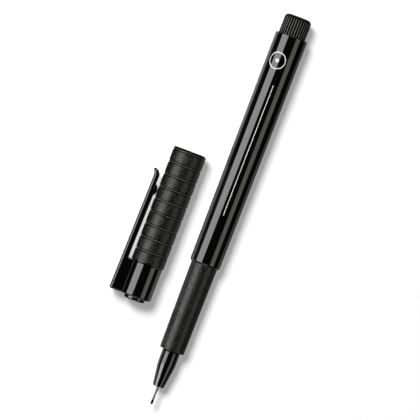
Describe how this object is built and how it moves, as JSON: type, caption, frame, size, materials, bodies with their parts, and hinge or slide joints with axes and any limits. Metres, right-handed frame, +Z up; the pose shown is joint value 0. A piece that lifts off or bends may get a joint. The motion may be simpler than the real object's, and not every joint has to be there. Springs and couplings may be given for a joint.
{
  "type": "fineliner pen",
  "caption": "Fineliner pen lying uncapped: steel-sleeved fibre point, matt grip, glossy tapered barrel and fluted end plug, beside its banded cap with a sprung pocket clip.",
  "frame": {"origin": "on the table, under the middle of the box around the lying pen and cap", "axes": "+Y along the pen from the nib to the end plug, +X from the cap towards the pen, +Z up from the table"},
  "size_m": [0.0332, 0.14, 0.0115],
  "materials": {
    "gloss_black": "polished black moulded plastic",
    "satin_black": "satin black moulded plastic",
    "matt_black": "fine spark-textured matt black plastic",
    "holder_black": "plain black plastic",
    "tip_steel": "drawn stainless tube",
    "fibre_black": "bonded fibre soaked with black ink",
    "fibre_white": "bonded polyester fibre",
    "film_white": "thin wrapped film"
  },
  "bodies": {
    "pen": {"nib": "fibre_black", "tip_tube": "tip_steel", "nib_holder": "holder_black", "feed_wick": "fibre_white", "reservoir_core": "fibre_white", "reservoir_film": "film_white", "front_section": "gloss_black", "grip_sleeve": "matt_black", "barrel": "gloss_black", "end_plug": "satin_black"},
    "cap": {"cap_sleeve": "matt_black", "cap_end": "gloss_black", "seal_liner": "gloss_black"},
    "clip": {"clip": "gloss_black"}
  },
  "joints": [
    {"name": "cap_transfer", "type": "slide", "parent": "pen", "child": "cap", "axis": [0.1155, -0.9933, 0], "range_m": [0, 0.15671]},
    {"name": "clip_flex", "type": "hinge", "parent": "cap", "child": "clip", "pos_m": [-0.01506, -0.0264, 0.00575], "axis": [0, 0, 1], "range_deg": [0, 4], "stiffness_Nm_per_rad": 1}
  ]
}
